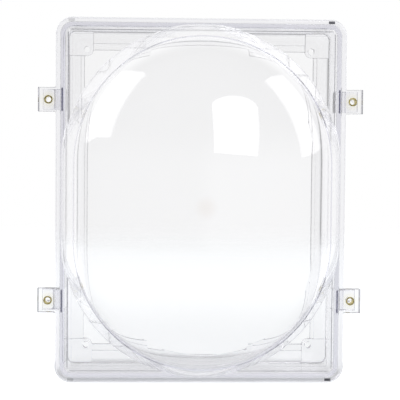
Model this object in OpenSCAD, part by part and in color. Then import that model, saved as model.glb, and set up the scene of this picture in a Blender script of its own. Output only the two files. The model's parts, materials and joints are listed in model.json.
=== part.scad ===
// Clear moulded cover that guards a wall strobe: a domed cover over an open-backed spacer frame.
// The wall is the plane y = 0, the dome faces -Y, +Z is up, and the origin is the middle of the back.

/* [Cover] */
// Width over the cover's rim
rim_w = 194; // [160:1:220]
// Height over the cover's rim
rim_h = 244; // [210:1:290]
// Plan radius of the rim's corners
rim_corner_r = 11; // [8.5:0.5:16]
// Distance from the wall to the front of the rim
rim_depth = 38.5; // [30:0.5:60]
// Distance that the skirt reaches back from the front of the rim
skirt_depth = 10; // [8:0.5:14]
// Width of the ledge between the rim's edge and the raised panel
ledge_w = 8.3; // [5:0.1:10]
// Height of the panel above the ledge
panel_rise = 2.5; // [1:0.1:5]
// Plan radius of the panel's corners
panel_corner_r = 3.2; // [2:0.1:8]
// Thickness of the cover's walls
cover_t = 3; // [2:0.1:3.6]
// Radius on the front edge of the rim
rim_edge_r = 1.6; // [0.5:0.1:2.2]
// Radius on the front edge of the panel
panel_edge_r = 0.6; // [0.3:0.1:0.9]

/* [Dome] */
// Distance from the rim's edge in to the foot of the dome, left and right
dome_side_inset = 4.7; // [4:0.1:7]
// Distance from the rim's edge in to the foot of the dome, top and bottom
dome_end_inset = 5; // [4:0.1:7]
// Height of the dome above the panel
dome_rise = 62; // [54:0.5:72]
// Angle that the dome's wall leans in from upright
wall_lean = 22; // [12:0.5:28]
// Height of this wall above the panel
wall_rise = 21.5; // [16:0.5:26]
// Radius of the dome's shoulder
shoulder_r = 40; // [30:0.5:46]

/* [Ears] */
// Distance that an ear stands out of the rim
ear_reach = 12; // [9:0.5:16]
// Height of an ear
ear_h = 16.4; // [12:0.2:22]
// Distance from the front of the rim back to the front of an ear
ear_setback = 4.5; // [2.5:0.1:6]
// Distance between the ears on one side, centre to centre
ear_pitch = 134.6; // [90:0.2:170]
// Radius where an ear meets the rim
ear_root_r = 1.5; // [0.5:0.1:3]
// Distance from the rim out to the middle of a bush
bush_inset = 5.1; // [4:0.1:6.5]

/* [Bushes] */
// Outside diameter of a brass bush
bush_d = 5.8; // [4.8:0.1:7]
// Bore of a brass bush, clear for the screw
bush_bore_d = 3.8; // [3:0.1:4.2]
// Width of the groove round the middle of a bush
bush_groove_w = 1.2; // [0.6:0.1:2]
// Depth of the groove round the middle of a bush
bush_groove_depth = 0.3; // [0.1:0.05:0.4]
// Chamfer at each end of the bore
bush_chamfer = 0.25; // [0.1:0.05:0.4]

/* [Frame] */
// Thickness of the frame's wall
frame_t = 3; // [2:0.1:3.6]
// Gap between the cover's skirt and the frame's wall
fit_gap = 0.3; // [0.2:0.05:0.6]
// Gap between the frame's front edge and the underside of the ledge
seat_gap = 0.3; // [0.2:0.05:0.6]
// Radius between the frame's wall and its back flange
cove_r = 3; // [1:0.1:4]
// Thickness of the back flange
flange_t = 3; // [2:0.1:5]
// Width of the back flange, inside the wall
flange_w = 8.2; // [6:0.2:11]
// Thickness of the thin pads inside the flange
pad_t = 2; // [1.2:0.1:2.8]
// Distance that the side pads stand in from the flange
side_pad_w = 2.5; // [1:0.1:6]
// Distance that the end pads stand in from the flange
end_pad_w = 4.5; // [2:0.1:8]
// Width of the gap between the end pads, top and bottom
end_gap_w = 73; // [40:1:90]
// Distance that this gap cuts into the flange
end_gap_cut = 3; // [1:0.1:4]
// Distance from the middle of a bush out to the tip of the lug behind it
lug_margin = 4; // [3:0.1:6]
// Height of a lug
lug_h = 14; // [10:0.2:20]
// Thickness of a lug at its tip
lug_tip_t = 4; // [3:0.2:7]
// Thickness of a lug at its root
lug_root_t = 12; // [8:0.5:18]
// Hole in a lug for the cover's screw
lug_hole_d = 3; // [2.4:0.1:3.6]

/* [Wall screws] */
// Distance from the frame's outer faces in to a wall screw hole, across and up
wall_hole_inset = 15.4; // [14:0.1:19]
// Diameter of a wall screw hole
wall_hole_d = 4.2; // [3.2:0.1:5.5]
// Margin of the corner pad round a wall screw hole
corner_pad_margin = 2.3; // [1.5:0.1:5]
// Thickness of a corner pad
corner_pad_t = 4.4; // [3.2:0.1:6]

/* [Hidden] */
$fn = 96;
clear_plastic = [0.93, 0.95, 0.96, 0.35];
brass = [0.80, 0.62, 0.28];
// Overlap that lets a cut pass right through a face
through = 1;
// Least radius of an inside corner
least_r = 0.5;

// Depths of the cover's faces, measured out from the wall
panel_depth = rim_depth + panel_rise;
skirt_back = rim_depth - skirt_depth;
ledge_back = rim_depth - cover_t;
panel_back = panel_depth - cover_t;
ear_front = rim_depth - ear_setback;
ear_t = ear_front - skirt_back;
bush_len = ear_t;
frame_front = ledge_back - seat_gap;

// The raised panel in plan, and the pocket behind it
panel_w = rim_w - 2 * ledge_w;
panel_h = rim_h - 2 * ledge_w;
pocket_w = panel_w - 2 * cover_t;
pocket_h = panel_h - 2 * cover_t;
pocket_r = max(panel_corner_r - cover_t, least_r);

// The dome in plan
dome_r = rim_w / 2 - dome_side_inset;
dome_straight = rim_h - 2 * (dome_end_inset + dome_r);

// Where the bushes sit
bush_x = rim_w / 2 + bush_inset;
bush_y = ear_pitch / 2;

// The frame's wall in plan
frame_w = rim_w - 2 * (cover_t + fit_gap);
frame_h = rim_h - 2 * (cover_t + fit_gap);
frame_corner_r = rim_corner_r - cover_t - fit_gap;
frame_inner_r = max(frame_corner_r - frame_t, least_r);
wall_cove_r = min(cove_r, frame_inner_r);

// The opening in the flange, and where the wall screw holes sit
flange_open_w = frame_w - 2 * (frame_t + flange_w);
flange_open_h = frame_h - 2 * (frame_t + flange_w);
hole_x = frame_w / 2 - wall_hole_inset;
hole_y = frame_h / 2 - wall_hole_inset;
corner_pad_r = wall_hole_d / 2 + corner_pad_margin;

// The dome in section: the centre of a shoulder's arc, and the crown's arc that joins the two shoulders
shoulder_x = dome_r - wall_rise * tan(wall_lean) - shoulder_r * cos(wall_lean);
shoulder_depth = panel_depth + wall_rise - shoulder_r * sin(wall_lean);
shoulder_rise = panel_depth + dome_rise - shoulder_depth;
crown_r = (shoulder_x ^ 2 + shoulder_rise ^ 2 - shoulder_r ^ 2) / (2 * (shoulder_rise - shoulder_r));
crown_depth = panel_depth + dome_rise - crown_r;
join_angle = asin(shoulder_x / (crown_r - shoulder_r));

// Stands a shape drawn in plan, with depth along +Z, up against the wall
module on_wall() {
    rotate([90, 0, 0]) children();
}

// Repeats a shape in all four quarters of the plan
module in_quarters() {
    for (flip_x = [0, 1], flip_y = [0, 1]) {
        mirror([flip_x, 0, 0]) mirror([0, flip_y, 0]) children();
    }
}

// Rectangle with round corners
module round_rect(w, h, r) {
    square([w - 2 * r, h], center = true);
    square([w, h - 2 * r], center = true);
    for (sx = [-1, 1], sy = [-1, 1]) {
        translate([sx * (w / 2 - r), sy * (h / 2 - r)]) circle(r);
    }
}

// Carries a section round a rectangle with round corners.
// The section's x runs outward from the centre of the corner's arc and its y is depth.
module round_rect_sweep(w, h, r) {
    corner_x = w / 2 - r;
    corner_y = h / 2 - r;
    for (turn = [0, 180]) {
        rotate(turn) {
            translate([corner_x, corner_y]) rotate_extrude(angle = 90) children();
            translate([-corner_x, corner_y]) rotate(90) rotate_extrude(angle = 90) children();
            translate([corner_x, corner_y]) rotate([90, 0, 0]) linear_extrude(2 * corner_y) children();
            translate([-corner_x, corner_y]) rotate([90, 0, 90]) linear_extrude(2 * corner_x) children();
        }
    }
}

// What a round takes off a square outside corner at the origin, which points to +X +Y
module corner_waste(r) {
    translate([-r, -r]) {
        difference() {
            square(r + through);
            circle(r);
        }
    }
}

// Section through the cover's skirt and ledge, in as far as the corner's centre
module rim_section() {
    outer = rim_corner_r;
    difference() {
        polygon([
            [outer, skirt_back],
            [outer, rim_depth],
            [0, rim_depth],
            [0, ledge_back],
            [outer - cover_t, ledge_back],
            [outer - cover_t, skirt_back]
        ]);
        translate([outer, rim_depth]) corner_waste(rim_edge_r);
    }
}

// Section through the edge of the raised panel, in as far as its corner's centre
module panel_section() {
    difference() {
        translate([0, ledge_back]) square([panel_corner_r, panel_depth - ledge_back]);
        translate([panel_corner_r, panel_depth]) corner_waste(panel_edge_r);
    }
}

// Plate with round corners whose edge has its own section
module edged_plate(w, h, r, back, front) {
    round_rect_sweep(w, h, r) children();
    translate([0, 0, (back + front) / 2]) cube([w - 2 * r, h - 2 * r, front - back], center = true);
}

// Half section of the dome, set in by an inset: a leaning wall, a shoulder and the crown
module dome_section(inset, base) {
    shoulder = shoulder_r - inset;
    crown = crown_r - inset;
    wall_top_x = shoulder_x + shoulder * cos(wall_lean);
    wall_top = shoulder_depth + shoulder * sin(wall_lean);
    foot_x = wall_top_x + (wall_top - base) * tan(wall_lean);
    ray = 2 * crown;
    join_ray = [ray * sin(join_angle), crown_depth + ray * cos(join_angle)];
    polygon([[0, base], [foot_x, base], [wall_top_x, wall_top], [0, wall_top]]);
    intersection() {
        translate([0, wall_top]) square([wall_top_x, crown_depth + crown - wall_top]);
        union() {
            translate([shoulder_x, shoulder_depth]) circle(shoulder);
            intersection() {
                translate([0, crown_depth]) circle(crown);
                polygon([[0, crown_depth], join_ray, [0, crown_depth + ray]]);
            }
        }
    }
}

// Solid dome: two half turns with a straight length between them
module dome_solid(inset, base) {
    half = dome_straight / 2;
    for (turn = [0, 180]) {
        rotate(turn) {
            translate([0, half]) rotate_extrude(angle = 180) dome_section(inset, base);
            translate([0, half]) rotate([90, 0, 0]) linear_extrude(dome_straight) dome_section(inset, base);
        }
    }
}

// Plan of one ear, from inside the skirt out to its end
module ear_plan() {
    side = rim_w / 2;
    translate([side - cover_t, -ear_h / 2]) square([cover_t + ear_reach, ear_h]);
    for (up = [0, 1]) {
        mirror([0, up]) translate([side, ear_h / 2]) {
            difference() {
                square(ear_root_r);
                translate([ear_root_r, ear_root_r]) circle(ear_root_r);
            }
        }
    }
}

// The clear cover
module dome_cover() {
    color(clear_plastic) on_wall() difference() {
        union() {
            edged_plate(rim_w, rim_h, rim_corner_r, ledge_back, rim_depth) rim_section();
            edged_plate(panel_w, panel_h, panel_corner_r, ledge_back, panel_depth) panel_section();
            dome_solid(0, ledge_back);
            in_quarters() translate([0, bush_y, skirt_back]) linear_extrude(ear_t) ear_plan();
        }
        translate([0, 0, ledge_back - through]) {
            linear_extrude(panel_back - ledge_back + through) round_rect(pocket_w, pocket_h, pocket_r);
        }
        dome_solid(cover_t, ledge_back - through);
        in_quarters() translate([bush_x, bush_y, skirt_back - through]) {
            cylinder(d = bush_d, h = ear_t + 2 * through);
        }
    }
}

// Section of the frame's wall and the cove at its foot
module frame_section() {
    wall_inner = frame_corner_r - frame_t;
    translate([wall_inner, 0]) square([frame_t, frame_front]);
    translate([wall_inner - wall_cove_r, flange_t]) {
        difference() {
            square(wall_cove_r);
            translate([0, wall_cove_r]) circle(wall_cove_r);
        }
    }
}

// Plan of the thin pads that line the flange, with gaps in the middle of the top and the bottom
module pad_plan() {
    difference() {
        square([flange_open_w + flange_w, flange_open_h + flange_w], center = true);
        square([flange_open_w - 2 * side_pad_w, flange_open_h - 2 * end_pad_w], center = true);
    }
}

// Plan of the corner pad round one wall screw hole, out into the middle of the wall
module corner_pad_plan() {
    pad_reach = corner_pad_r + wall_hole_inset;
    intersection() {
        round_rect(frame_w - frame_t, frame_h - frame_t, frame_corner_r - frame_t / 2);
        translate([hole_x, hole_y]) {
            circle(corner_pad_r);
            translate([-corner_pad_r, 0]) square([pad_reach, wall_hole_inset]);
            translate([0, -corner_pad_r]) square([wall_hole_inset, pad_reach]);
        }
    }
}

// Gusseted lug behind one of the cover's ears, drawn with its back to the wall
module lug() {
    root = frame_w / 2 - frame_t / 2;
    tip = bush_x + lug_margin;
    translate([0, lug_h / 2, 0]) rotate([90, 0, 0]) linear_extrude(lug_h) {
        polygon([
            [root, skirt_back],
            [tip, skirt_back],
            [tip, skirt_back - lug_tip_t],
            [root, skirt_back - lug_root_t]
        ]);
    }
}

// The clear spacer frame
module back_frame() {
    gap_h = flange_open_h + 2 * end_gap_cut;
    color(clear_plastic) on_wall() difference() {
        union() {
            round_rect_sweep(frame_w, frame_h, frame_corner_r) frame_section();
            linear_extrude(flange_t) difference() {
                round_rect(frame_w, frame_h, frame_corner_r);
                square([flange_open_w, flange_open_h], center = true);
            }
            linear_extrude(pad_t) pad_plan();
            in_quarters() {
                linear_extrude(corner_pad_t) corner_pad_plan();
                translate([0, bush_y]) lug();
            }
        }
        translate([-end_gap_w / 2, -gap_h / 2, -through]) cube([end_gap_w, gap_h, flange_t + 2 * through]);
        in_quarters() {
            translate([hole_x, hole_y, -through]) cylinder(d = wall_hole_d, h = corner_pad_t + 2 * through);
            translate([bush_x, bush_y, 0]) cylinder(d = lug_hole_d, h = skirt_back + through);
        }
    }
}

// One brass bush at a corner, given as -1 or 1 across and up
module bush(across, up) {
    outer = bush_d / 2;
    bore = bush_bore_d / 2;
    groove = outer - bush_groove_depth;
    groove_low = (bush_len - bush_groove_w) / 2;
    groove_high = (bush_len + bush_groove_w) / 2;
    color(brass) on_wall() translate([across * bush_x, up * bush_y, skirt_back]) rotate_extrude() {
        polygon([
            [bore + bush_chamfer, 0],
            [outer, 0],
            [outer, groove_low],
            [groove, groove_low],
            [groove, groove_high],
            [outer, groove_high],
            [outer, bush_len],
            [bore + bush_chamfer, bush_len],
            [bore, bush_len - bush_chamfer],
            [bore, bush_chamfer]
        ]);
    }
}

module bush_top_left() { bush(-1, 1); }
module bush_top_right() { bush(1, 1); }
module bush_bottom_left() { bush(-1, -1); }
module bush_bottom_right() { bush(1, -1); }

dome_cover();
back_frame();
bush_top_left();
bush_top_right();
bush_bottom_left();
bush_bottom_right();
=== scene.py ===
"""Clear strobe guard: a domed polycarbonate cover on a clear spacer frame, with brass bushes in its ears."""

import json
import math

import bmesh
import bpy
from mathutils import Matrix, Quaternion, Vector

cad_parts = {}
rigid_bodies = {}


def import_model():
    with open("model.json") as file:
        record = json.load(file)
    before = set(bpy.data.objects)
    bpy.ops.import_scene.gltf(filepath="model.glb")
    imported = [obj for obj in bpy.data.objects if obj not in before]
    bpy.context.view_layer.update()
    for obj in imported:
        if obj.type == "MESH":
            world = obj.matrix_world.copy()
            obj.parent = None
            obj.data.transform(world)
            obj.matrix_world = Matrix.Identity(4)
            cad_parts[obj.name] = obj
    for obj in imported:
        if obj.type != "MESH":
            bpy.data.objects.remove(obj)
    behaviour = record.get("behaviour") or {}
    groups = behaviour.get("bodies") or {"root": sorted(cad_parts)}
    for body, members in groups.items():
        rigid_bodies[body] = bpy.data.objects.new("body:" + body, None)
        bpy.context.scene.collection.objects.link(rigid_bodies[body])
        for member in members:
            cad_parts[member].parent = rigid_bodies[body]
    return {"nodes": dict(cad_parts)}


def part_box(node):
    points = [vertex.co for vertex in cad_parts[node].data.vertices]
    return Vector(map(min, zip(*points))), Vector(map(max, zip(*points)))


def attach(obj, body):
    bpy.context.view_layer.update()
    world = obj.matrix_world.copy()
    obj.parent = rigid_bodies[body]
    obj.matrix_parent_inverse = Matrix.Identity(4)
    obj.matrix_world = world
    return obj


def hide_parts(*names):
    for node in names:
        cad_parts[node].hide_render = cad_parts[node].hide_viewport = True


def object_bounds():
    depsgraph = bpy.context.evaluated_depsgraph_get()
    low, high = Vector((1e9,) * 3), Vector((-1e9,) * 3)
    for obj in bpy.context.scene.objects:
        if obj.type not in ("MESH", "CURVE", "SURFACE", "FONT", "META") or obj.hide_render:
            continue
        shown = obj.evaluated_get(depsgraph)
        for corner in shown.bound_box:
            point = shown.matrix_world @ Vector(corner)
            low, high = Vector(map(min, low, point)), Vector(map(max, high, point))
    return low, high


for old in list(bpy.data.objects):
    bpy.data.objects.remove(old)

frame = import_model()
cad_low, cad_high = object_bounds()
scene = bpy.context.scene
scene.view_settings.view_transform = "Standard"
# Light runs along the clear walls for many bounces before it leaves them.
scene.cycles.max_bounces = 40
scene.cycles.glossy_bounces = 32
scene.cycles.transmission_bounces = 32

MM = 0.001
# An edge that turns by more than this is sharp.
SHARP = math.radians(28)

# Sizes of the cover, as in the CAD model. First its rim, its skirt and the thickness of its walls.
RIM_W, RIM_H, RIM_R, RIM_EDGE_R = 194.0 * MM, 244.0 * MM, 11.0 * MM, 1.6 * MM
RIM_DEPTH, SKIRT_BACK, WALL = 38.5 * MM, 28.5 * MM, 3.0 * MM
# The ledge inside the rim, the raised panel and the pocket under the panel.
LEDGE_W, PANEL_RISE, PANEL_R, PANEL_EDGE_R = 8.3 * MM, 2.5 * MM, 3.2 * MM, 0.6 * MM
POCKET_R = 0.5 * MM
# The dome's plan, and its section of a leaning wall, a shoulder and a crown.
DOME_R, DOME_HALF_STRAIGHT, DOME_RISE = 92.3 * MM, 24.7 * MM, 62.0 * MM
WALL_LEAN, WALL_RISE, SHOULDER_R = math.radians(22.0), 21.5 * MM, 40.0 * MM
# The ears, and the holes in them for the bushes.
EAR_REACH, EAR_H, EAR_SETBACK = 12.0 * MM, 16.4 * MM, 4.5 * MM
EAR_ROOT_R, EAR_PITCH = 1.5 * MM, 134.6 * MM
BUSH_INSET, BUSH_R = 5.1 * MM, 2.9 * MM
# A hair of air between the cover and the lugs that it sits on, so that the two faces don't coincide.
AIR = 0.06 * MM
# Worked out from those.
PANEL_DEPTH = RIM_DEPTH + PANEL_RISE
LEDGE_BACK = RIM_DEPTH - WALL
COVER_BACK = SKIRT_BACK + AIR
PANEL_W, PANEL_H = RIM_W - 2 * LEDGE_W, RIM_H - 2 * LEDGE_W
EAR_END = RIM_W / 2 + EAR_REACH
CROWN = PANEL_DEPTH + DOME_RISE
CORNERS = [(across, up) for across in (-1, 1) for up in (-1, 1)]

# The width across the outside of the frame's walls.
FRAME_W = 187.4 * MM
# The opening inside the thin pads that line the frame's flange, and their thickness.
PAD_OPEN_W, PAD_OPEN_H, PAD_T = 160.0 * MM, 206.0 * MM, 2.0 * MM

# A bush: its outside and bore, the chamfers at its ends and its bore, and its groove.
BRASS_R, BORE_R, LEAD, BORE_CHAMFER = 2.86 * MM, 1.9 * MM, 0.3 * MM, 0.25 * MM
GROOVE_R, GROOVE_HALF = 2.6 * MM, 0.6 * MM
# The knurling's depth, half a diamond's length, and how many diamonds go round the bush.
KNURL_CUT, KNURL_HALF, KNURL_TEETH = 0.16 * MM, 0.45 * MM, 30
# How far each end of a bush stays inside its node's box.
BUSH_SUNK = 0.05 * MM

# The radius of moulded edges, and the faces round one.
EDGE_R, EDGE_FACES = 0.3 * MM, 3
# How far a cut passes through a face.
THROUGH = 1.0 * MM
# Points closer than this are one point.
SAME, SAME_IN_CAD = 1e-7, 1e-6

# The table top's radius, and how far it lies below the object.
TABLE_R, FLOOR_GAP = 1.3, 0.3 * MM

# Tints on the clear plastic: painted shade lines and reflections, and the gate mark.
STEP_SHADE_TINT = (0.12, 0.12, 0.14, 1.0)
EAR_EDGE_SHADE_TINT = (0.45, 0.45, 0.47, 1.0)
CORNER_REFLECTION_TINT = (0.01, 0.01, 0.014, 1.0)
GATE_TINT = (0.965, 0.945, 0.93, 1.0)
BRASS_REFLECTION_TINT = (1.0, 0.985, 0.9, 1.0)
PAD_SHADE_TINT = (0.45, 0.45, 0.47, 1.0)
LUG_SHADE_TINT = (0.02, 0.02, 0.05, 1.0)
# The plastic's tint where light runs on through it, how strong that is, and what its shadow lets by.
DEPTH_TINT = (0.4, 0.39, 0.56, 1.0)
COVER_DENSITY, FRAME_DENSITY = 13.0, 12.0
SHADOW_TINT = (0.93, 0.93, 0.95, 1.0)
WHITE = (1.0, 1.0, 1.0, 1.0)


def link(obj):
    scene.collection.objects.link(obj)
    return obj


# Shader nodes


def nodes_of(owner):
    owner.use_nodes = True
    tree = owner.node_tree
    tree.nodes.clear()
    return tree


def add(tree, kind, **inputs):
    """Adds a shader node and sets the sockets named, with _ for a space."""
    node = tree.nodes.new(kind)
    for name, value in inputs.items():
        node.inputs[name.replace("_", " ")].default_value = value
    return node


def fed(tree, value, socket):
    """Gives a socket a number, or links it to another node's output."""
    if isinstance(value, float):
        socket.default_value = value
    else:
        tree.links.new(value, socket)


def ranged(tree, source, start, end, low, high):
    """Goes smoothly from low to high as a value goes from start to end. Low and high may be sockets."""
    span = add(tree, "ShaderNodeMapRange", From_Min=start, From_Max=end)
    span.interpolation_type = "SMOOTHSTEP"
    tree.links.new(source, span.inputs["Value"])
    fed(tree, low, span.inputs["To Min"])
    fed(tree, high, span.inputs["To Max"])
    return span.outputs["Result"]


def calculated(tree, operation, one, two=0.0):
    """A sum done on one or two values, which may be sockets."""
    node = add(tree, "ShaderNodeMath")
    node.operation = operation
    fed(tree, one, node.inputs[0])
    fed(tree, two, node.inputs[1])
    return node.outputs["Value"]


def product(tree, first, *others):
    """Several shares multiplied together."""
    for other in others:
        first = calculated(tree, "MULTIPLY", first, other)
    return first


def vector_sum(tree, operation, one, two=(0.0, 0.0, 0.0)):
    """A sum done on a socket's vector and a fixed one."""
    node = add(tree, "ShaderNodeVectorMath")
    node.operation = operation
    tree.links.new(one, node.inputs[0])
    node.inputs[1].default_value = two
    return node.outputs["Value" if operation in ("DISTANCE", "LENGTH") else "Vector"]


def split(tree, vector):
    """The X, Y and Z of a vector."""
    axes = add(tree, "ShaderNodeSeparateXYZ")
    tree.links.new(vector, axes.inputs["Vector"])
    return axes.outputs


def band(tree, value, low, high, soft):
    """One where a value lies between two limits, and softly nothing outside them."""
    above = ranged(tree, value, low - soft, low, 0.0, 1.0)
    below = ranged(tree, value, high, high + soft, 1.0, 0.0)
    return product(tree, above, below)


# Painted shade and reflections on the clear plastic, and its gate mark


def folded(tree, place):
    """Folds the four corners onto one: how far a point lies from the middle, across and up, and off the
    wall. The painted shade and reflections that repeat in each corner are set out on this."""
    return vector_sum(tree, "ABSOLUTE", place)


def past_outline(tree, axes, w, h):
    """How far a point lies outside a rectangle round the middle."""
    beside = calculated(tree, "SUBTRACT", axes["X"], w / 2)
    above = calculated(tree, "SUBTRACT", axes["Z"], h / 2)
    return calculated(tree, "MAXIMUM", beside, above)


def off_ear(tree, axes):
    """How far a point lies above or below the middle of the nearest ear."""
    return calculated(tree, "ABSOLUTE", calculated(tree, "SUBTRACT", axes["Z"], EAR_PITCH / 2))


def painted_step_shade(tree, axes):
    """A dark line of painted shade along the step from the ledge up to the panel."""
    line, over, soft = 0.5 * MM, 0.05 * MM, 0.2 * MM
    foot, soft_foot = 0.3 * MM, 0.1 * MM
    edge = band(tree, past_outline(tree, axes, PANEL_W, PANEL_H), -line, over, soft)
    raised = band(tree, axes["Y"], RIM_DEPTH + foot, PANEL_DEPTH + over, soft_foot)
    return product(tree, edge, raised)


def painted_ear_shade(tree, axes):
    """Painted shade: lines along the ears' ends, and fainter ones along their upper and lower edges."""
    end_line, side_line, soft = 0.9 * MM, 0.7 * MM, 0.3 * MM
    root, soft_root, side_share = 0.3 * MM, 0.2 * MM, 0.4
    end_start = EAR_END - end_line
    end = ranged(tree, axes["X"], end_start, end_start + soft, 0.0, 1.0)
    side_start = EAR_H / 2 - side_line
    side = ranged(tree, off_ear(tree, axes), side_start, side_start + soft, 0.0, 1.0)
    root_end = RIM_W / 2 + root
    on_ear = ranged(tree, axes["X"], root_end, root_end + soft_root, 0.0, side_share)
    return calculated(tree, "MAXIMUM", end, product(tree, side, on_ear))


def painted_corner_reflections(tree, axes, across):
    """Painted dark reflections: dashes on the rim's top and bottom edges where they turn the corners,
    fainter on the left.
    """
    dash_start, dash_end, soft = 12.5 * MM, 8.7 * MM, 0.4 * MM
    low, high, depth = 3.0 * MM, 1.5 * MM, 2.0 * MM
    middle, left_share = 50.0 * MM, 0.45
    turn = band(tree, axes["X"], RIM_W / 2 - dash_start, RIM_W / 2 - dash_end, soft)
    edge = band(tree, axes["Z"], RIM_H / 2 - low, RIM_H / 2 - high, soft)
    front = ranged(tree, axes["Y"], RIM_DEPTH - depth, RIM_DEPTH - depth + soft, 0.0, 1.0)
    uneven = ranged(tree, across, -middle, middle, left_share, 1.0)
    return product(tree, turn, edge, front, uneven)


def gate_mark(tree, place):
    """The mark in the middle of the crown, where the plastic ran into the mould."""
    mark_r, fade_r = 2.0 * MM, 9.0 * MM
    away = vector_sum(tree, "DISTANCE", place, (0.0, -CROWN, 0.0))
    return ranged(tree, away, mark_r, fade_r, 1.0, 0.0)


def painted_brass_reflection(tree, quarter):
    """A painted warm reflection of the brass in the plastic round a bush."""
    halo_r = 7.0 * MM
    flat = vector_sum(tree, "MULTIPLY", quarter, (1.0, 0.0, 1.0))
    away = vector_sum(tree, "DISTANCE", flat, (RIM_W / 2 + BUSH_INSET, 0.0, EAR_PITCH / 2))
    return ranged(tree, away, BUSH_R, halo_r, 1.0, 0.0)


def painted_pad_shade(tree, axes):
    """A line of painted shade along the inner edge of the thin pads round the frame's opening."""
    inside, line, soft = 0.1 * MM, 0.25 * MM, 0.15 * MM
    foot, over, soft_foot = 0.2 * MM, 0.05 * MM, 0.1 * MM
    edge = band(tree, past_outline(tree, axes, PAD_OPEN_W, PAD_OPEN_H), -inside, line, soft)
    raised = band(tree, axes["Y"], foot, PAD_T + over, soft_foot)
    return product(tree, edge, raised)


def painted_lug_shade(tree, axes):
    """A dark line of painted shade on the front edge of the frame's wall beside each lug."""
    line_in, line_out, soft = 1.5 * MM, 0.5 * MM, 0.15 * MM
    soft_end, depth, soft_depth = 0.8 * MM, 3.0 * MM, 0.4 * MM
    wall = band(tree, axes["X"], FRAME_W / 2 - line_in, FRAME_W / 2 - line_out, soft)
    beside = ranged(tree, off_ear(tree, axes), EAR_H / 2 - soft_end, EAR_H / 2, 1.0, 0.0)
    start = LEDGE_BACK - depth
    front = ranged(tree, axes["Y"], start, start + soft_depth, 0.0, 1.0)
    return product(tree, wall, beside, front)


def tinted(tree, marks):
    """White with tints laid over it, each by a share from nothing to one."""
    # A mix of colours has its factor, its two colours and its result at these places.
    factor, under, over, result = 0, 6, 7, 2
    colour = None
    for share, tint in marks:
        mix = add(tree, "ShaderNodeMix")
        mix.data_type = "RGBA"
        tree.links.new(share, mix.inputs[factor])
        mix.inputs[under].default_value = WHITE
        if colour:
            tree.links.new(colour, mix.inputs[under])
        mix.inputs[over].default_value = tint
        colour = mix.outputs[result]
    return colour


def cover_colour_with_painted_light(tree, place):
    """The cover's colour: white with painted shade lines and reflections, and the gate mark."""
    quarter = folded(tree, place)
    axes = split(tree, quarter)
    marks = (
        (painted_step_shade(tree, axes), STEP_SHADE_TINT),
        (painted_ear_shade(tree, axes), EAR_EDGE_SHADE_TINT),
        (painted_corner_reflections(tree, axes, split(tree, place)["X"]), CORNER_REFLECTION_TINT),
        (gate_mark(tree, place), GATE_TINT),
        (painted_brass_reflection(tree, quarter), BRASS_REFLECTION_TINT),
    )
    return tinted(tree, marks)


def frame_colour_with_painted_shade(tree, place):
    """The frame's colour: white with painted shade lines."""
    axes = split(tree, folded(tree, place))
    marks = (
        (painted_pad_shade(tree, axes), PAD_SHADE_TINT),
        (painted_lug_shade(tree, axes), LUG_SHADE_TINT),
    )
    return tinted(tree, marks)


# Materials


def clear_plastic(name, density, marks):
    """Clear moulded polycarbonate: slight flow waves, patches of faint haze and a cool tint with depth."""
    mat = bpy.data.materials.new(name)
    tree = nodes_of(mat)
    place = add(tree, "ShaderNodeTexCoord").outputs["Object"]
    flow = add(tree, "ShaderNodeTexNoise", Scale=38.0, Detail=2.0, Roughness=0.45)
    haze = add(tree, "ShaderNodeTexNoise", Scale=120.0, Detail=4.0, Roughness=0.6)
    for noise in (flow, haze):
        tree.links.new(place, noise.inputs["Vector"])
    bump = add(tree, "ShaderNodeBump", Strength=0.05, Distance=0.4 * MM)
    tree.links.new(flow.outputs["Fac"], bump.inputs["Height"])
    most_haze = 0.03
    rough = ranged(tree, haze.outputs["Fac"], 0.0, 1.0, 0.0, most_haze)
    skin = add(tree, "ShaderNodeBsdfPrincipled", IOR=1.585, Transmission_Weight=1.0)
    tree.links.new(marks(tree, place), skin.inputs["Base Color"])
    tree.links.new(rough, skin.inputs["Roughness"])
    tree.links.new(bump.outputs["Normal"], skin.inputs["Normal"])
    passing = add(tree, "ShaderNodeBsdfTransparent", Color=SHADOW_TINT)
    path = add(tree, "ShaderNodeLightPath")
    mix = add(tree, "ShaderNodeMixShader")
    tree.links.new(path.outputs["Is Shadow Ray"], mix.inputs[0])
    tree.links.new(skin.outputs["BSDF"], mix.inputs[1])
    tree.links.new(passing.outputs["BSDF"], mix.inputs[2])
    depth = add(tree, "ShaderNodeVolumeAbsorption", Color=DEPTH_TINT, Density=density)
    out = add(tree, "ShaderNodeOutputMaterial")
    tree.links.new(mix.outputs["Shader"], out.inputs["Surface"])
    tree.links.new(depth.outputs["Volume"], out.inputs["Volume"])
    return mat


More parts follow.
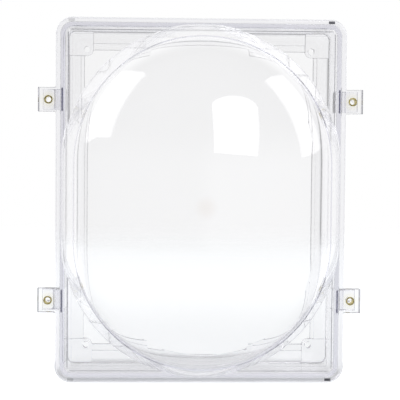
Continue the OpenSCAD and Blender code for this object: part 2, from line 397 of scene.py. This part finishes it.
def turned_brass(name):
    """Machined brass: a fine grain, dull patches and darker spots of tarnish."""
    mat = bpy.data.materials.new(name)
    tree = nodes_of(mat)
    place = add(tree, "ShaderNodeTexCoord").outputs["Object"]
    stain = add(tree, "ShaderNodeTexNoise", Scale=900.0, Detail=4.0)
    grain = add(tree, "ShaderNodeTexNoise", Scale=5000.0, Detail=2.0)
    for noise in (stain, grain):
        tree.links.new(place, noise.inputs["Vector"])
    ramp = add(tree, "ShaderNodeValToRGB")
    tarnished, bright = ramp.color_ramp.elements
    tarnished.position = 0.35
    tarnished.color = (0.34, 0.28, 0.08, 1.0)
    bright.position = 0.6
    bright.color = (0.70, 0.60, 0.24, 1.0)
    tree.links.new(stain.outputs["Fac"], ramp.inputs["Fac"])
    bump = add(tree, "ShaderNodeBump", Strength=0.25, Distance=0.02 * MM)
    tree.links.new(grain.outputs["Fac"], bump.inputs["Height"])
    smoothest, dullest = 0.2, 0.38
    rough = ranged(tree, stain.outputs["Fac"], 0.0, 1.0, smoothest, dullest)
    skin = add(tree, "ShaderNodeBsdfPrincipled", Metallic=1.0)
    tree.links.new(ramp.outputs["Color"], skin.inputs["Base Color"])
    tree.links.new(rough, skin.inputs["Roughness"])
    tree.links.new(bump.outputs["Normal"], skin.inputs["Normal"])
    out = add(tree, "ShaderNodeOutputMaterial")
    tree.links.new(skin.outputs["BSDF"], out.inputs["Surface"])
    return mat


# Shapes


def arc(steps, start=0.0, end=math.pi / 2):
    """The angles along an arc, both ends included."""
    return [start + (end - start) * k / steps for k in range(steps + 1)]


def rect_loop(w, h, r, depth, steps=16):
    """A rectangle with round corners, at a depth off the wall."""
    points = []
    for k, (across, up) in enumerate(((1, 1), (-1, 1), (-1, -1), (1, -1))):
        x, z = across * (w / 2 - r), up * (h / 2 - r)
        for t in arc(steps, k * math.pi / 2, (k + 1) * math.pi / 2):
            points.append((x + r * math.cos(t), -depth, z + r * math.sin(t)))
    return points


def dome_loop(r, depth, steps=144):
    """Two half circles with straight sides between them, at a depth off the wall."""
    points = []
    for k, up in enumerate((1, -1)):
        for t in arc(steps, k * math.pi, (k + 1) * math.pi):
            points.append((r * math.cos(t), -depth, up * DOME_HALF_STRAIGHT + r * math.sin(t)))
    return points


def strip(bm, one, two):
    """Joins two closed rings of as many points with a band of faces."""
    for k in range(len(one)):
        j = (k + 1) % len(one)
        bm.faces.new((one[k], one[j], two[j], two[k]))


def prism(bm, outline, back, front):
    """A closed solid on an outline of X and Z, from one depth off the wall to another."""
    rows = []
    for depth in (back, front):
        rows.append([bm.verts.new((x, -depth, z)) for x, z in outline])
    for row in rows:
        bm.faces.new(row)
    strip(bm, *rows)


def rounded(bm, edges):
    """Rounds edges as they leave the mould."""
    bmesh.ops.bevel(
        bm,
        geom=edges,
        offset=EDGE_R,
        offset_type="OFFSET",
        segments=EDGE_FACES,
        profile=0.5,
        affect="EDGES",
    )


def made(name, bm):
    """A new object of the mesh that was built."""
    mesh = bpy.data.meshes.new(name)
    bm.to_mesh(mesh)
    bm.free()
    return link(bpy.data.objects.new(name, mesh))


def solid(name, loops, capped):
    """Joins loops of equal length into one closed surface. The loops numbered in capped get a flat face."""
    bm = bmesh.new()
    rows = [[bm.verts.new(point) for point in loop] for loop in loops]
    for one, two in zip(rows, rows[1:]):
        strip(bm, one, two)
    for number in capped:
        bm.faces.new(rows[number])
    bmesh.ops.remove_doubles(bm, verts=bm.verts, dist=SAME)
    bmesh.ops.recalc_face_normals(bm, faces=bm.faces)
    return made(name, bm)


def finished(piece, mat, body, node):
    """Gives a piece its material, smooth faces between sharp edges, and its place in the frame."""
    piece.data.materials.clear()
    piece.data.materials.append(mat)
    piece.data.shade_smooth()
    piece.data.set_sharp_from_angle(angle=SHARP)
    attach(piece, body)
    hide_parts(node)


def evened(piece):
    """Lets large flat faces rule the shading of the small ones round them."""
    even = piece.modifiers.new("even_normals", "WEIGHTED_NORMAL")
    even.weight = 100
    even.keep_sharp = True


# The cover


def block(name, w, h, r, back, front, back_r=0.0, front_r=0.0, back_steps=4, front_steps=8):
    """A plate with round corners, whose back and front edges may be rounded too."""
    edges = [(0.0, back)]
    if back_r:
        turns = arc(back_steps)
        edges = [(back_r * (1 - math.sin(t)), back + back_r * (1 - math.cos(t))) for t in turns]
    if front_r:
        turns = arc(front_steps)
        edges += [(front_r * (1 - math.cos(t)), front - front_r * (1 - math.sin(t))) for t in turns]
    else:
        edges.append((0.0, front))
    loops = [rect_loop(w - 2 * inset, h - 2 * inset, r - inset, depth) for inset, depth in edges]
    return solid(name, loops, (0, -1))


def dome(name, inset, base, crown_steps=28, shoulder_steps=26):
    """The dome's solid from its crown down to a base: a crown arc, a shoulder arc and a leaning wall."""
    centre_x = DOME_R - WALL_RISE * math.tan(WALL_LEAN) - SHOULDER_R * math.cos(WALL_LEAN)
    centre = PANEL_DEPTH + WALL_RISE - SHOULDER_R * math.sin(WALL_LEAN)
    rise = CROWN - centre
    crown_r = (centre_x ** 2 + rise ** 2 - SHOULDER_R ** 2) / (2 * (rise - SHOULDER_R))
    join = math.asin(centre_x / (crown_r - SHOULDER_R))
    r = crown_r - inset
    section = [(r * math.sin(t), CROWN - crown_r + r * math.cos(t)) for t in arc(crown_steps, 0.0, join)]
    r = SHOULDER_R - inset
    for t in arc(shoulder_steps, join, math.pi / 2 - WALL_LEAN)[1:]:
        section.append((centre_x + r * math.sin(t), centre + r * math.cos(t)))
    wall_x, wall_depth = section[-1]
    section.append((wall_x + (wall_depth - base) * math.tan(WALL_LEAN), base))
    return solid(name, [dome_loop(radius, depth) for radius, depth in section], (-1,))


def ears(root_steps=6):
    """The four ears, rounded along their outside edges."""
    side, half = RIM_W / 2, EAR_H / 2
    plan = []
    for t in arc(root_steps):
        plan.append((side + EAR_ROOT_R * (1 - math.cos(t)), -half - EAR_ROOT_R * (1 - math.sin(t))))
    plan.append((EAR_END, -half))
    plan += [(x, -z) for x, z in reversed(plan)]
    plan += [(side - WALL / 2, plan[-1][1]), (side - WALL / 2, plan[0][1])]
    bm = bmesh.new()
    for across, up in CORNERS:
        outline = [(across * x, up * EAR_PITCH / 2 + z) for x, z in plan]
        prism(bm, outline, COVER_BACK, RIM_DEPTH - EAR_SETBACK)
    bmesh.ops.recalc_face_normals(bm, faces=bm.faces)
    sunk = side - WALL / 4
    outside = [e for e in bm.edges if all(abs(v.co.x) > sunk for v in e.verts)]
    rounded(bm, [e for e in outside if e.calc_face_angle(0.0) > SHARP])
    return made("ears", bm)


def ear_holes(steps=64):
    """Four rods, to cut the holes that the bushes are pressed into."""
    turns = [2 * math.pi * k / steps for k in range(steps)]
    bm = bmesh.new()
    for across, up in CORNERS:
        x, z = across * (RIM_W / 2 + BUSH_INSET), up * EAR_PITCH / 2
        outline = [(x + BUSH_R * math.cos(t), z + BUSH_R * math.sin(t)) for t in turns]
        prism(bm, outline, COVER_BACK - THROUGH, RIM_DEPTH)
    bmesh.ops.recalc_face_normals(bm, faces=bm.faces)
    return made("ear_holes", bm)


def cover(mat):
    """The moulded cover: rim, panel, dome and ears joined, then hollowed out and drilled for the bushes."""
    middle, below = LEDGE_BACK + WALL / 2, LEDGE_BACK - THROUGH
    inner_w, inner_h, inner_r = RIM_W - 2 * WALL, RIM_H - 2 * WALL, RIM_R - WALL
    pocket_w, pocket_h = PANEL_W - 2 * WALL, PANEL_H - 2 * WALL
    rim = block("rim", RIM_W, RIM_H, RIM_R, COVER_BACK, RIM_DEPTH, EDGE_R, RIM_EDGE_R)
    added = [
        block("panel", PANEL_W, PANEL_H, PANEL_R, middle, PANEL_DEPTH, 0.0, PANEL_EDGE_R),
        dome("dome", 0.0, middle),
        ears(),
    ]
    cut = [
        block("inside", inner_w, inner_h, inner_r, COVER_BACK - THROUGH, LEDGE_BACK),
        block("pocket", pocket_w, pocket_h, POCKET_R, below, PANEL_DEPTH - WALL),
        dome("hollow", WALL, below),
        ear_holes(),
    ]
    for how, tools in (("UNION", added), ("DIFFERENCE", cut)):
        for tool in tools:
            step = rim.modifiers.new(tool.name, "BOOLEAN")
            step.operation = how
            step.solver = "EXACT"
            step.object = tool
    bpy.context.view_layer.update()
    mesh = bpy.data.meshes.new_from_object(rim.evaluated_get(bpy.context.evaluated_depsgraph_get()))
    mesh.name = "clear_cover"
    for tool in [rim] + added + cut:
        bpy.data.objects.remove(tool)
    piece = link(bpy.data.objects.new("clear_cover", mesh))
    finished(piece, mat, "cover", "dome_cover")
    evened(piece)


# The frame


def spacer_frame(mat):
    """The frame's solid, with its sharp edges rounded."""
    flat = math.radians(0.2)
    bm = bmesh.new()
    bm.from_mesh(frame["nodes"]["back_frame"].data)
    bmesh.ops.remove_doubles(bm, verts=bm.verts, dist=SAME_IN_CAD)
    bmesh.ops.dissolve_limit(bm, angle_limit=flat, verts=bm.verts, edges=bm.edges)
    whole = [e for e in bm.edges if len(e.link_faces) == 2]
    rounded(bm, [e for e in whole if e.calc_face_angle(0.0) > SHARP])
    piece = made("clear_frame", bm)
    finished(piece, mat, "frame", "back_frame")
    evened(piece)


# The bushes


def bush_section(length, steps=26):
    """A bush's section, from its bore's front end to its back: radius, place along it, depth of knurling."""
    rim = BORE_R + BORE_CHAMFER
    section = [(BORE_R, BORE_CHAMFER, 0.0), (rim, 0.0, 0.0), (BRASS_R - LEAD, 0.0, 0.0)]
    for k in range(steps + 1):
        along = LEAD + (length - 2 * LEAD) * k / steps
        if abs(along - length / 2) < GROOVE_HALF:
            section.append((GROOVE_R, along, 0.0))
        else:
            section.append((BRASS_R, along, KNURL_CUT))
    section += [(BRASS_R - LEAD, length, 0.0), (rim, length, 0.0), (BORE_R, length - BORE_CHAMFER, 0.0)]
    return section


def diamonds(turn, along):
    """The height of two crossing sets of grooves, from nothing in a groove to one on a diamond's top."""
    round_it, down_it = KNURL_TEETH * turn / math.pi, along / KNURL_HALF
    one = abs((round_it + down_it) % 2 - 1)
    two = abs((round_it - down_it) % 2 - 1)
    return min(one, two)


def bush(node, mat, steps=120):
    """A brass bush with two bands of diamond knurling, a plain groove between them and a chamfered bore."""
    low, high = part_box(node)
    x, z = (low[0] + high[0]) / 2, (low[2] + high[2]) / 2
    start = low[1] + BUSH_SUNK
    length = high[1] - low[1] - 2 * BUSH_SUNK
    turns = [2 * math.pi * k / steps for k in range(steps)]
    bm = bmesh.new()
    rings = []
    for radius, along, depth in bush_section(length):
        ring = []
        for t in turns:
            r = radius - depth * (1 - diamonds(t, along))
            ring.append(bm.verts.new((x + r * math.cos(t), start + along, z + r * math.sin(t))))
        rings.append(ring)
    for k, ring in enumerate(rings):
        strip(bm, ring, rings[(k + 1) % len(rings)])
    bmesh.ops.recalc_face_normals(bm, faces=bm.faces)
    finished(made(node + "_knurled", bm), mat, "cover", node)


cover(clear_plastic("cover_plastic", COVER_DENSITY, cover_colour_with_painted_light))
spacer_frame(clear_plastic("frame_plastic", FRAME_DENSITY, frame_colour_with_painted_shade))
brass = turned_brass("turned_brass")
for node in frame["nodes"]:
    if node.startswith("bush_"):
        bush(node, brass)


# The studio


def by_ray(tree, eye, through, framed, mirrored, guided, inside, scattered):
    """A strength for each kind of ray: from the eye, through the cover alone, through the frame too,
    mirrored by the outside, guided along one wall, mirrored inside the cover, and scattered."""
    path = add(tree, "ShaderNodeLightPath").outputs
    glossy = path["Is Glossy Ray"]
    # Depths are whole counts, so each limit lies halfway between two of them.
    never = calculated(tree, "LESS_THAN", path["Glossy Depth"], 0.5)
    often = calculated(tree, "GREATER_THAN", path["Glossy Depth"], 1.5)
    deep = calculated(tree, "GREATER_THAN", path["Transmission Depth"], 2.5)
    straight = product(tree, path["Is Transmission Ray"], never)
    steps = (
        (glossy, mirrored),
        (product(tree, glossy, often), guided),
        (product(tree, glossy, deep), inside),
        (straight, through),
        (product(tree, straight, deep), framed),
        (path["Is Camera Ray"], eye),
    )
    level = scattered
    for kind, strength in steps:
        mix = add(tree, "ShaderNodeMix")
        tree.links.new(kind, mix.inputs["Factor"])
        fed(tree, level, mix.inputs["A"])
        fed(tree, strength, mix.inputs["B"])
        level = mix.outputs["Result"]
    return level


def table_white():
    """The pale table, which fades out far from the object. To rays that the plastic bends or mirrors it is
    dimmer in front of the object and close to it: painted shade on the table."""
    mat = bpy.data.materials.new("table_white")
    tree = nodes_of(mat)
    place = add(tree, "ShaderNodeTexCoord").outputs["Object"]
    back = split(tree, place)["Y"]
    radius = vector_sum(tree, "LENGTH", place)
    # Each range goes from one place to another, and from one level to another.
    near, far = 0.08, 0.4
    # The lower levels close to the object and in front of it are painted shade.
    behind = ranged(tree, radius, near, far, 0.69, 0.85)
    through = ranged(tree, back, -0.01, 0.02, 0.3, behind)
    close = ranged(tree, radius, near, far, 0.35, 0.6)
    level = by_ray(
        tree,
        eye=0.85,
        through=through,
        framed=ranged(tree, back, -0.02, 0.05, 0.4, through),
        mirrored=ranged(tree, back, -0.02, 0.05, 0.4, 1.0),
        guided=0.8,
        inside=ranged(tree, back, -0.02, 0.04, close, 0.7),
        scattered=0.0,
    )
    glow = add(tree, "ShaderNodeEmission", Color=(0.97, 0.99, 1.0, 1.0))
    tree.links.new(level, glow.inputs["Strength"])
    matte = add(tree, "ShaderNodeBsdfDiffuse", Color=(0.5, 0.5, 0.5, 1.0))
    both = add(tree, "ShaderNodeAddShader")
    tree.links.new(glow.outputs["Emission"], both.inputs[0])
    tree.links.new(matte.outputs["BSDF"], both.inputs[1])
    fade = add(tree, "ShaderNodeMixShader")
    tree.links.new(ranged(tree, radius, far, TABLE_R, 0.0, 1.0), fade.inputs[0])
    tree.links.new(both.outputs["Shader"], fade.inputs[1])
    tree.links.new(add(tree, "ShaderNodeBsdfTransparent").outputs["BSDF"], fade.inputs[2])
    out = add(tree, "ShaderNodeOutputMaterial")
    tree.links.new(fade.outputs["Shader"], out.inputs["Surface"])
    return mat


def table_top():
    """A round table top under the object."""
    bm = bmesh.new()
    bmesh.ops.create_circle(bm, cap_ends=True, segments=128, radius=TABLE_R)
    table = made("table_top", bm)
    table.data.materials.append(table_white())
    table.location = (0.0, 0.0, cad_low.z - FLOOR_GAP)


def room():
    """The room, which is white to the eye. Mirrored rays see it white behind the object and dim in front,
    though lighter there towards the floor and the right. Rays through the plastic see dim sides."""
    world = bpy.data.worlds.new("studio")
    scene.world = world
    tree = nodes_of(world)
    way = split(tree, add(tree, "ShaderNodeTexCoord").outputs["Generated"])
    # Each range goes from one direction to another, and from one level to another.
    low_ahead = ranged(tree, way["X"], -0.1, 0.2, 0.3, 0.55)
    ahead = ranged(tree, way["Z"], -0.1, 0.5, low_ahead, 0.05)
    along = calculated(tree, "ABSOLUTE", way["Y"])
    level = by_ray(
        tree,
        eye=1.0,
        through=ranged(tree, along, 0.1, 0.6, 0.1, 1.0),
        framed=ranged(tree, along, 0.5, 0.95, 0.1, 1.0),
        mirrored=ranged(tree, way["Y"], -0.1, 0.5, ahead, 1.0),
        guided=1.0,
        inside=ranged(tree, way["Y"], -0.2, 0.6, 0.5, 1.0),
        scattered=0.3,
    )
    walls = add(tree, "ShaderNodeBackground", Color=WHITE)
    tree.links.new(level, walls.inputs["Strength"])
    out = add(tree, "ShaderNodeOutputWorld")
    tree.links.new(walls.outputs["Background"], out.inputs["Surface"])


def softbox(name, centre, aim, size, turn, shape="RECTANGLE", radiance=1.5):
    """A soft lamp of even radiance that faces a point, turned about its own axis by some degrees."""
    lamp = bpy.data.lights.new(name, "AREA")
    lamp.shape = shape
    lamp.size, lamp.size_y = size
    lamp.energy = radiance * math.pi * size[0] * size[1]
    obj = link(bpy.data.objects.new(name, lamp))
    obj.location = centre
    facing = (Vector(aim) - Vector(centre)).to_track_quat("-Z", "Y")
    obj.rotation_euler = (facing @ Quaternion((0.0, 0.0, 1.0), math.radians(turn))).to_euler()


def photo_camera():
    """A camera at the photograph's viewing angle."""
    camera = link(bpy.data.objects.new("camera", bpy.data.cameras.new("camera")))
    camera.location = (-0.03445, -0.69829, 0.04136)
    camera.rotation_euler = [math.radians(a) for a in (88.111, -0.468, -1.756)]
    camera.data.lens = 89.24
    camera.data.shift_x = 0.05
    camera.data.shift_y = -0.07
    camera.data.clip_start = 0.01
    scene.camera = camera


table_top()
room()
softbox("softbox_left", (-0.676, -0.108, 0.458), (-0.04, -0.07, -0.05), (0.545, 0.63), 11.4)
softbox("softbox_right", (0.75, -0.123, 0.404), (0.03, 0.26, -0.05), (0.44, 0.67), 9.9)
softbox("softbox_front", (1.937, -4.259, 1.927), (0.035, 0.35, -0.18), (2.68, 2.82), -5.9)
softbox("softbox_arch", (1.863, -3.7, 3.22), (-0.04, 0.91, 1.114), (2.68, 1.3), -5.9, "ELLIPSE")
photo_camera()
